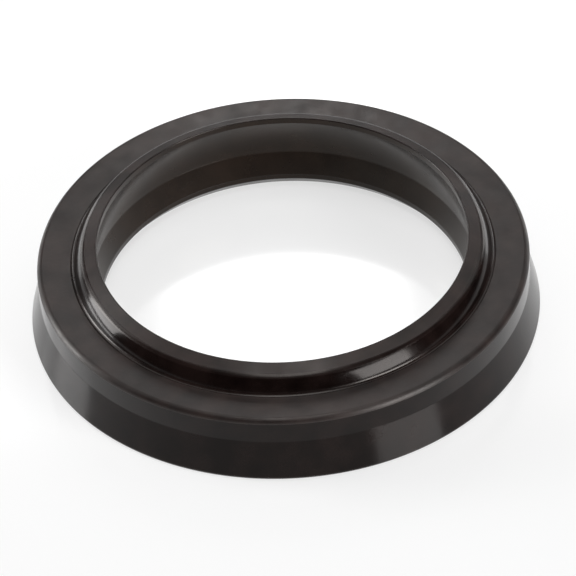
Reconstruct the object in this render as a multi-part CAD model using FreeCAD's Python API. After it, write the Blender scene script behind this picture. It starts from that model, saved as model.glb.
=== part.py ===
"""Rod wiper seal: one moulded rubber ring, modelled as the revolve of its section.

Millimetres. Z is the axis of the ring. The origin is on the axis at the flat
base, and the wiping lip is at the top.
"""
import FreeCAD, Part
import math
import os

# Rod and housing that the ring is made for
ROD_D = 40.0
GROOVE_DEPTH = 6.0       # radial depth of the housing groove, rod to housing bore
LIP_PRELOAD = 0.45       # how far the relaxed lip and heel stand inside the rod's surface

# Seat, the lower part that fills the groove
SEAT_H = 7.4             # base to shoulder
SKIRT_H = 4.4            # height over which the outer wall flares out as a static seal
SKIRT_FLARE = 1.05       # how far the skirt's foot stands outside the housing bore
SHOULDER_EDGE_R = 0.45
SKIRT_VALLEY_R = 0.6
BASE_EDGE_R = 0.3

# Collar, the leaning wall that carries the wiping lip above the shoulder
COLLAR_FOOT_WALL = 2.2   # rod surface to the wall's foot
COLLAR_TOP_WALL = 1.15   # rod surface to the lip's outer edge
COLLAR_H = 1.7           # shoulder to the lip's outer edge
COLLAR_BULGE = 0.18      # how far the wall's middle corner stands out from a straight cone
COLLAR_BULGE_R = 4.0
COLLAR_FOOT_R = 0.25

# Lip, trimmed as a shallow cone that rises to the wiping edge
LIP_RISE = 0.65          # lip's outer edge to the wiping edge
LIP_LAND = 0.75          # short round land that touches the rod
LIP_OUTER_EDGE_R = 0.08
LIP_TIP_R = 0.12

# Bore behind the lip
RELIEF_DEPTH = 0.8       # radial depth of the hollow between lip and heel
UNDERCUT_H = 7.1         # height of the corner where the lip's underside turns down into the hollow
UNDERCUT_R = 10.0
RELIEF_H = 4.4           # height of the hollow's lower corner above the base
RELIEF_R = 0.8
HEEL_LEAD_IN = 0.95      # radial width of the lead-in below the heel
HEEL_LEAD_IN_H = 1.2     # height of that lead-in
HEEL_LAND = 0.6          # height of the round land above it
HEEL_EDGE_R = 0.2

# Worked out from the sizes above
ROD_R = ROD_D / 2
BORE_R = ROD_R - LIP_PRELOAD
HOUSING_R = ROD_R + GROOVE_DEPTH
COLLAR_FOOT = (ROD_R + COLLAR_FOOT_WALL, SEAT_H)
COLLAR_TOP = (ROD_R + COLLAR_TOP_WALL, SEAT_H + COLLAR_H)
TIP_Z = SEAT_H + COLLAR_H + LIP_RISE


def collar_middle():
    """Corner in the middle of the collar's wall, set out from the straight cone."""
    run = COLLAR_TOP[0] - COLLAR_FOOT[0]
    rise = COLLAR_TOP[1] - COLLAR_FOOT[1]
    length = math.hypot(run, rise)
    r = (COLLAR_FOOT[0] + COLLAR_TOP[0]) / 2 + COLLAR_BULGE * rise / length
    z = (COLLAR_FOOT[1] + COLLAR_TOP[1]) / 2 - COLLAR_BULGE * run / length
    return r, z


def section_corners():
    """Corners of the section as (r, z, edge radius), starting at the base's inner edge."""
    return [
        (BORE_R + HEEL_LEAD_IN, 0, BASE_EDGE_R),
        (HOUSING_R + SKIRT_FLARE, 0, BASE_EDGE_R),
        (HOUSING_R, SKIRT_H, SKIRT_VALLEY_R),
        (HOUSING_R, SEAT_H, SHOULDER_EDGE_R),
        (*COLLAR_FOOT, COLLAR_FOOT_R),
        (*collar_middle(), COLLAR_BULGE_R),
        (*COLLAR_TOP, LIP_OUTER_EDGE_R),
        (BORE_R, TIP_Z, LIP_TIP_R),
        (BORE_R, TIP_Z - LIP_LAND, LIP_TIP_R),
        (BORE_R + RELIEF_DEPTH, UNDERCUT_H, UNDERCUT_R),
        (BORE_R + RELIEF_DEPTH, RELIEF_H, RELIEF_R),
        (BORE_R, HEEL_LEAD_IN_H + HEEL_LAND, HEEL_EDGE_R),
        (BORE_R, HEEL_LEAD_IN_H, HEEL_EDGE_R),
    ]


def corner_arc(before, corner, after, radius):
    """Start, middle and end of the arc that rounds a corner, tangent to both its flanks."""
    back = (before - corner).normalize()
    ahead = (after - corner).normalize()
    half_angle = back.getAngle(ahead) / 2
    reach = radius / math.tan(half_angle)
    depth = radius / math.sin(half_angle) - radius
    inward = (back + ahead).normalize()
    return corner + back * reach, corner + inward * depth, corner + ahead * reach


def section_face():
    """The closed section in the XZ plane: straight flanks joined by the corner arcs."""
    corners = section_corners()
    points = [FreeCAD.Vector(r, 0, z) for r, z, _ in corners]
    arcs = []
    for i, (_, _, radius) in enumerate(corners):
        after = points[(i + 1) % len(points)]
        arcs.append(corner_arc(points[i - 1], points[i], after, radius))
    edges = []
    for i, (start, middle, end) in enumerate(arcs):
        edges.append(Part.makeLine(arcs[i - 1][2], start))
        edges.append(Part.Arc(start, middle, end).toShape())
    return Part.Face(Part.Wire(edges))


def wiper_ring():
    """The whole seal: its section turned once round the axis."""
    return section_face().revolve(FreeCAD.Vector(0, 0, 0), FreeCAD.Vector(0, 0, 1), 360)


os.makedirs("parts", exist_ok=True)
wiper_ring().exportStep("parts/wiper_ring.step")
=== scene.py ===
import math
import bpy
from mathutils import Matrix, Vector


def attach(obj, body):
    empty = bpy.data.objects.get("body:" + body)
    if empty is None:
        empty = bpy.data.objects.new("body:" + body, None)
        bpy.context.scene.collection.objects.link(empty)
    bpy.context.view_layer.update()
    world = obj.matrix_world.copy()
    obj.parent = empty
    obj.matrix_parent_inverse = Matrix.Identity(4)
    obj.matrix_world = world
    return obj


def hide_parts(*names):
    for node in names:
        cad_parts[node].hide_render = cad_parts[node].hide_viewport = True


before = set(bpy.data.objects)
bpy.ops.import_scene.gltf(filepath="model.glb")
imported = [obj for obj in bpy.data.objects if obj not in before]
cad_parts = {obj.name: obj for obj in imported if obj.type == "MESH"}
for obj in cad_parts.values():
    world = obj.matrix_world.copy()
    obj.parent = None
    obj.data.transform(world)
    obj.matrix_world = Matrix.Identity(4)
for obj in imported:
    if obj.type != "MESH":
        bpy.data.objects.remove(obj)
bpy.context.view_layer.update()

MM = 0.001

# The seal's section, with the sizes that the solid has
BORE_RADIUS = 19.55 * MM       # wiping land and heel land
SEAT_RADIUS = 26.0 * MM
SEAT_HEIGHT = 7.4 * MM
SKIRT_HEIGHT = 4.4 * MM
SKIRT_FLARE = 1.05 * MM
COLLAR_HEIGHT = 1.7 * MM       # shoulder to the lip's outer edge
COLLAR_FOOT = (22.2 * MM, SEAT_HEIGHT)
COLLAR_TOP = (21.15 * MM, SEAT_HEIGHT + COLLAR_HEIGHT)
COLLAR_BULGE = 0.18 * MM       # how far the wall's middle corner stands out from a straight cone
LIP_RISE = 0.65 * MM           # lip's outer edge to the wiping edge
LIP_LAND = 0.75 * MM
TIP_HEIGHT = COLLAR_TOP[1] + LIP_RISE
RELIEF_DEPTH = 0.8 * MM        # depth of the hollow between lip and heel
UNDERCUT_HEIGHT = 7.1 * MM     # the hollow's upper corner
RELIEF_HEIGHT = 4.4 * MM       # the hollow's lower corner
HEEL_LEAD_IN = 0.95 * MM
HEEL_LEAD_IN_HEIGHT = 1.2 * MM
HEEL_LAND = 0.6 * MM

# Radii of the section's corners
BASE_EDGE_RADIUS = 0.3 * MM
SKIRT_VALLEY_RADIUS = 0.6 * MM
COLLAR_BULGE_RADIUS = 4.0 * MM
LIP_TIP_RADIUS = 0.12 * MM
UNDERCUT_RADIUS = 10.0 * MM
RELIEF_RADIUS = 0.8 * MM
HEEL_EDGE_RADIUS = 0.2 * MM

# These three are rounder than in the solid, as the photograph's lines of light show them
SHOULDER_EDGE_RADIUS = 0.6 * MM
COLLAR_FOOT_RADIUS = 0.42 * MM
LIP_OUTER_EDGE_RADIUS = 1.2 * MM

# Mesh fineness
TURN_STEPS = 432
ARC_STEPS = 7
FLANK_STEP = 0.6 * MM

# The photograph's frame and view
PHOTO_SIDE_PX = 576
SEAT_RADIUS_PX = 246.6                          # the shoulder edge's half width there
SHOULDER_CENTRE_RIGHT = -0.0207 * SEAT_RADIUS   # the shoulder's centre from the middle of the frame
SHOULDER_CENTRE_UP = 0.1391 * SEAT_RADIUS
CAMERA_DISTANCE = 24.6 * SEAT_RADIUS
CAMERA_ELEVATION = math.radians(41.3)
CAMERA_ROLL = math.radians(3.33)
SENSOR_MM = 36.0

# The table: together its colour under the lamps and its glow make it white where nothing shades it
FLOOR_SIDE = 4.0
FLOOR_COLOUR = 0.38
FLOOR_GLOW = 0.62
FLOOR_ROUGHNESS = 0.12
FLOOR_IOR = 1.7

WORLD_STRENGTH = 0.03

# The rubber's noise patterns as (waves per metre, detail)
COLOUR_NOISE = (300, 6)
GLOSS_NOISE = (420, 4)
GRAIN_NOISE = (2600, 3)

# The stretched sheen of a trimmed face: its strength, and the turn that lays it across the rings
TRIM_STRETCH = 0.55
TRIM_STRETCH_TURN = 0.25


def make_camera():
    """Long lens from the front and above, turned slightly about its own axis."""
    sin_e, cos_e = math.sin(CAMERA_ELEVATION), math.cos(CAMERA_ELEVATION)
    sin_r, cos_r = math.sin(CAMERA_ROLL), math.cos(CAMERA_ROLL)
    right = Vector((cos_r, -sin_e * sin_r, -cos_e * sin_r))
    up = Vector((sin_r, sin_e * cos_r, cos_e * cos_r))
    forward = Vector((0, cos_e, -sin_e))
    aim = Vector((0, 0, SEAT_HEIGHT)) - right * SHOULDER_CENTRE_RIGHT - up * SHOULDER_CENTRE_UP
    data = bpy.data.cameras.new("camera")
    data.sensor_width = SENSOR_MM
    data.lens = SENSOR_MM * SEAT_RADIUS_PX / PHOTO_SIDE_PX * CAMERA_DISTANCE / SEAT_RADIUS
    data.clip_start = 10 * MM
    camera = bpy.data.objects.new("camera", data)
    turn = Matrix((right, up, -forward)).transposed().to_4x4()
    camera.matrix_world = Matrix.Translation(aim - forward * CAMERA_DISTANCE) @ turn
    bpy.context.scene.collection.objects.link(camera)
    bpy.context.scene.camera = camera


def collar_middle():
    """Corner in the middle of the collar's wall, set out from the straight cone."""
    run = COLLAR_TOP[0] - COLLAR_FOOT[0]
    rise = COLLAR_TOP[1] - COLLAR_FOOT[1]
    length = math.hypot(run, rise)
    r = (COLLAR_FOOT[0] + COLLAR_TOP[0]) / 2 + COLLAR_BULGE * rise / length
    z = (COLLAR_FOOT[1] + COLLAR_TOP[1]) / 2 - COLLAR_BULGE * run / length
    return r, z


def section_corners():
    """Corners as (r, z, radius, finish of the rounding, finish of the flank that follows).

    They start at the base's inner edge and go outward, up and back down through the bore.
    """
    hollow = BORE_RADIUS + RELIEF_DEPTH
    heel_top = HEEL_LEAD_IN_HEIGHT + HEEL_LAND
    return [
        (BORE_RADIUS + HEEL_LEAD_IN, 0, BASE_EDGE_RADIUS, "edge", "moulded"),
        (SEAT_RADIUS + SKIRT_FLARE, 0, BASE_EDGE_RADIUS, "edge", "moulded"),
        (SEAT_RADIUS, SKIRT_HEIGHT, SKIRT_VALLEY_RADIUS, "moulded", "moulded"),
        (SEAT_RADIUS, SEAT_HEIGHT, SHOULDER_EDGE_RADIUS, "trimmed", "trimmed"),
        (*COLLAR_FOOT, COLLAR_FOOT_RADIUS, "edge", "moulded"),
        (*collar_middle(), COLLAR_BULGE_RADIUS, "moulded", "moulded"),
        (*COLLAR_TOP, LIP_OUTER_EDGE_RADIUS, "edge", "trimmed"),
        (BORE_RADIUS, TIP_HEIGHT, LIP_TIP_RADIUS, "edge", "running"),
        (BORE_RADIUS, TIP_HEIGHT - LIP_LAND, LIP_TIP_RADIUS, "edge", "running"),
        (hollow, UNDERCUT_HEIGHT, UNDERCUT_RADIUS, "running", "running"),
        (hollow, RELIEF_HEIGHT, RELIEF_RADIUS, "running", "running"),
        (BORE_RADIUS, heel_top, HEEL_EDGE_RADIUS, "edge", "running"),
        (BORE_RADIUS, HEEL_LEAD_IN_HEIGHT, HEEL_EDGE_RADIUS, "edge", "running"),
    ]


def corner_arc(before, corner, after, radius):
    """(point, normal) pairs along a corner's rounding; the normals point out of the rubber."""
    back = (before - corner).normalized()
    ahead = (after - corner).normalized()
    half_angle = back.angle(ahead) / 2
    centre = corner + (back + ahead).normalized() * (radius / math.sin(half_angle))
    reach = radius / math.tan(half_angle)
    first = (corner + back * reach - centre).normalized()
    turn = first.angle_signed(corner + ahead * reach - centre)
    side = 1 if (corner - before).cross(after - corner) > 0 else -1
    pairs = []
    for i in range(ARC_STEPS + 1):
        angle = -turn * i / ARC_STEPS
        spoke = Matrix.Rotation(angle, 2) @ first
        pairs.append((centre + spoke * radius, spoke * side))
    return pairs


def section_outline():
    """The section as (point, normal, finish) all the way round."""
    corners = section_corners()
    points = [Vector((r, z)) for r, z, *_ in corners]
    outline = []
    for i, (_, _, radius, rounding, finish) in enumerate(corners):
        after = points[(i + 1) % len(points)]
        arc = corner_arc(points[i - 1], points[i], after, radius)
        outline += [(point, normal, rounding) for point, normal in arc[:-1]]
        outline.append((*arc[-1], finish))
    return add_flank_points(outline)


def add_flank_points(outline):
    """Divides the straight flanks into even steps."""
    filled = []
    for i, (point, normal, finish) in enumerate(outline):
        filled.append((point, normal, finish))
        end = outline[(i + 1) % len(outline)][0]
        steps = max(1, round((end - point).length / FLANK_STEP))
        for s in range(1, steps):
            filled.append((point.lerp(end, s / steps), normal, finish))
    return filled


def make_ring(materials):
    """The seal as a fine revolve with exact normals; materials maps a finish to its material."""
    outline = section_outline()
    count = len(outline)
    vertices, normals, faces, finishes = [], [], [], []
    for t in range(TURN_STEPS):
        angle = 2 * math.pi * t / TURN_STEPS
        c, s = math.cos(angle), math.sin(angle)
        for point, normal, _ in outline:
            vertices.append((point.x * c, point.x * s, point.y))
            normals.append((normal.x * c, normal.x * s, normal.y))
        for i in range(count):
            j = (i + 1) % count
            a, b = t * count, (t + 1) % TURN_STEPS * count
            faces.append((a + i, b + i, b + j, a + j))
            finishes.append(outline[i][2])
    mesh = bpy.data.meshes.new("seal_ring")
    mesh.from_pydata(vertices, [], faces)
    names = list(materials)
    for name in names:
        mesh.materials.append(materials[name])
    mesh.polygons.foreach_set("material_index", [names.index(f) for f in finishes])
    mesh.polygons.foreach_set("use_smooth", [True] * len(faces))
    mesh.update()
    mesh.normals_split_custom_set_from_vertices(normals)
    ring = bpy.data.objects.new("seal_ring", mesh)
    bpy.context.scene.collection.objects.link(ring)
    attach(ring, "root")
    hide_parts("wiper_ring")


def make_floor():
    """Pale, glossy studio table, wide enough to fill every view.

    Seen directly or in a reflection it also glows, which makes it white and gives the seal
    no light. Its own colour carries the seal's shadow.
    """
    bpy.ops.mesh.primitive_plane_add(size=FLOOR_SIDE, location=(0, 0, 0))
    floor = bpy.context.object
    floor.name = "floor"
    material = bpy.data.materials.new("pale_floor")
    material.use_nodes = True
    nodes, links = material.node_tree.nodes, material.node_tree.links
    shader = nodes["Principled BSDF"]
    shader.inputs["Base Color"].default_value = (FLOOR_COLOUR, FLOOR_COLOUR, FLOOR_COLOUR, 1)
    shader.inputs["Roughness"].default_value = FLOOR_ROUGHNESS
    shader.inputs["IOR"].default_value = FLOOR_IOR
    shader.inputs["Emission Color"].default_value = (1, 1, 1, 1)
    ray = nodes.new("ShaderNodeLightPath")

    def larger(first, second):
        node = nodes.new("ShaderNodeMath")
        node.operation = "MAXIMUM"
        links.new(first, node.inputs[0])
        links.new(second, node.inputs[1])
        return node.outputs["Value"]

    seen = larger(ray.outputs["Is Camera Ray"], ray.outputs["Is Glossy Ray"])
    seen = larger(seen, ray.outputs["Is Transmission Ray"])
    glow = nodes.new("ShaderNodeMath")
    glow.operation = "MULTIPLY"
    glow.inputs[1].default_value = FLOOR_GLOW
    links.new(seen, glow.inputs[0])
    links.new(glow.outputs["Value"], shader.inputs["Emission Strength"])
    floor.data.materials.append(material)


def make_softbox(name, azimuth, elevation, distance, width, height, radiance):
    """Area light that faces the seal. Azimuth counts from the front, positive to the right."""
    a, e = math.radians(azimuth), math.radians(elevation)
    away = Vector((math.cos(e) * math.sin(a), -math.cos(e) * math.cos(a), math.sin(e)))
    data = bpy.data.lights.new(name, "AREA")
    data.shape = "RECTANGLE"
    data.size = width
    data.size_y = height
    data.energy = radiance * math.pi * width * height
    light = bpy.data.objects.new(name, data)
    light.location = away * distance
    light.rotation_euler = away.to_track_quat("Z", "Y").to_euler()
    bpy.context.scene.collection.objects.link(light)


def make_lights():
    """Soft light from overhead, small panels close to the seal, and softboxes all round.

    Each has azimuth and elevation in degrees, distance, width and height in metres, radiance.
    """
    make_softbox("overhead_strip", 0, 86, 0.50, 0.18, 0.36, 3.6)
    make_softbox("front_top_softbox", 0, 62, 0.50, 0.30, 0.20, 0.3)
    make_softbox("back_panel", 180, 37, 0.125, 0.10, 0.05, 0.75)
    make_softbox("back_strip", 180, 37, 0.124, 0.03, 0.05, 3.6)
    make_softbox("left_panel", -112, 36, 0.155, 0.06, 0.06, 2.4)
    make_softbox("right_panel", 125, 36, 0.155, 0.06, 0.06, 0.9)
    make_softbox("left_softbox", -105, 15, 0.50, 0.20, 0.22, 10.5)
    make_softbox("left_top_softbox", -124, 60, 0.50, 0.22, 0.20, 1.1)
    make_softbox("right_softbox", 47, 18, 0.50, 0.24, 0.27, 11.0)
    make_softbox("right_top_softbox", 124, 60, 0.50, 0.22, 0.20, 1.3)
    make_softbox("rear_left_softbox", -142, 8, 0.50, 0.24, 0.10, 2.8)
    make_softbox("rear_right_softbox", 142, 8, 0.50, 0.24, 0.10, 2.8)


def make_world():
    """A little light from all round."""
    world = bpy.data.worlds.new("studio")
    bpy.context.scene.world = world
    world.use_nodes = True
    background = world.node_tree.nodes["Background"]
    background.inputs["Color"].default_value = (1, 1, 1, 1)
    background.inputs["Strength"].default_value = WORLD_STRENGTH


def make_rubber(name, dark, light, roughness, grain, specular_tint):
    """Black rubber: mottled from dark to light, uneven gloss from roughness[0] to [1], fine grain."""
    material = bpy.data.materials.new(name)
    material.use_nodes = True
    nodes, links = material.node_tree.nodes, material.node_tree.links
    shader = nodes["Principled BSDF"]
    shader.inputs["Specular Tint"].default_value = (*specular_tint, 1)
    place = nodes.new("ShaderNodeTexCoord")

    def noise(scale, detail):
        node = nodes.new("ShaderNodeTexNoise")
        node.inputs["Scale"].default_value = scale
        node.inputs["Detail"].default_value = detail
        links.new(place.outputs["Object"], node.inputs["Vector"])
        return node.outputs["Fac"]

    colour = nodes.new("ShaderNodeValToRGB")
    colour.color_ramp.elements[0].position = 0.35
    colour.color_ramp.elements[0].color = (*dark, 1)
    colour.color_ramp.elements[1].position = 0.65
    colour.color_ramp.elements[1].color = (*light, 1)
    links.new(noise(*COLOUR_NOISE), colour.inputs["Fac"])
    links.new(colour.outputs["Color"], shader.inputs["Base Color"])

    gloss = nodes.new("ShaderNodeMapRange")
    gloss.inputs["From Min"].default_value = 0.3
    gloss.inputs["From Max"].default_value = 0.7
    gloss.inputs["To Min"].default_value = roughness[0]
    gloss.inputs["To Max"].default_value = roughness[1]
    links.new(noise(*GLOSS_NOISE), gloss.inputs["Value"])
    links.new(gloss.outputs["Result"], shader.inputs["Roughness"])

    bump = nodes.new("ShaderNodeBump")
    bump.inputs["Strength"].default_value = 1.0
    bump.inputs["Distance"].default_value = grain
    links.new(noise(*GRAIN_NOISE), bump.inputs["Height"])
    links.new(bump.outputs["Normal"], shader.inputs["Normal"])
    return material


def turn_finish(material):
    """Stretches the sheen across the fine rings that trimming leaves."""
    nodes, links = material.node_tree.nodes, material.node_tree.links
    shader = nodes["Principled BSDF"]
    shader.inputs["Anisotropic"].default_value = TRIM_STRETCH
    shader.inputs["Anisotropic Rotation"].default_value = TRIM_STRETCH_TURN
    tangent = nodes.new("ShaderNodeTangent")
    tangent.direction_type = "RADIAL"
    tangent.axis = "Z"
    links.new(tangent.outputs["Tangent"], shader.inputs["Tangent"])


def make_materials():
    """The seal's finishes, under the names that section_corners gives them."""
    materials = {
        "moulded": make_rubber(
            "moulded_skin", dark=(0.003, 0.0015, 0.0013), light=(0.010, 0.0057, 0.0050),
            roughness=(0.10, 0.18), grain=0.002 * MM, specular_tint=(0.34, 0.32, 0.31)),
        "edge": make_rubber(
            "moulded_edge", dark=(0.004, 0.0020, 0.0017), light=(0.014, 0.0080, 0.0070),
            roughness=(0.18, 0.28), grain=0.002 * MM, specular_tint=(0.66, 0.62, 0.59)),
        "running": make_rubber(
            "running_surface", dark=(0.008, 0.0040, 0.0026), light=(0.017, 0.0098, 0.0066),
            roughness=(0.16, 0.28), grain=0.002 * MM, specular_tint=(0.46, 0.41, 0.36)),
        "trimmed": make_rubber(
            "trimmed_face", dark=(0.006, 0.0030, 0.0027), light=(0.022, 0.0135, 0.0120),
            roughness=(0.36, 0.50), grain=0.006 * MM, specular_tint=(0.95, 0.91, 0.88)),
    }
    turn_finish(materials["trimmed"])
    return materials


make_camera()
make_floor()
make_lights()
make_world()
make_ring(make_materials())
bpy.context.scene.view_settings.view_transform = "Standard"
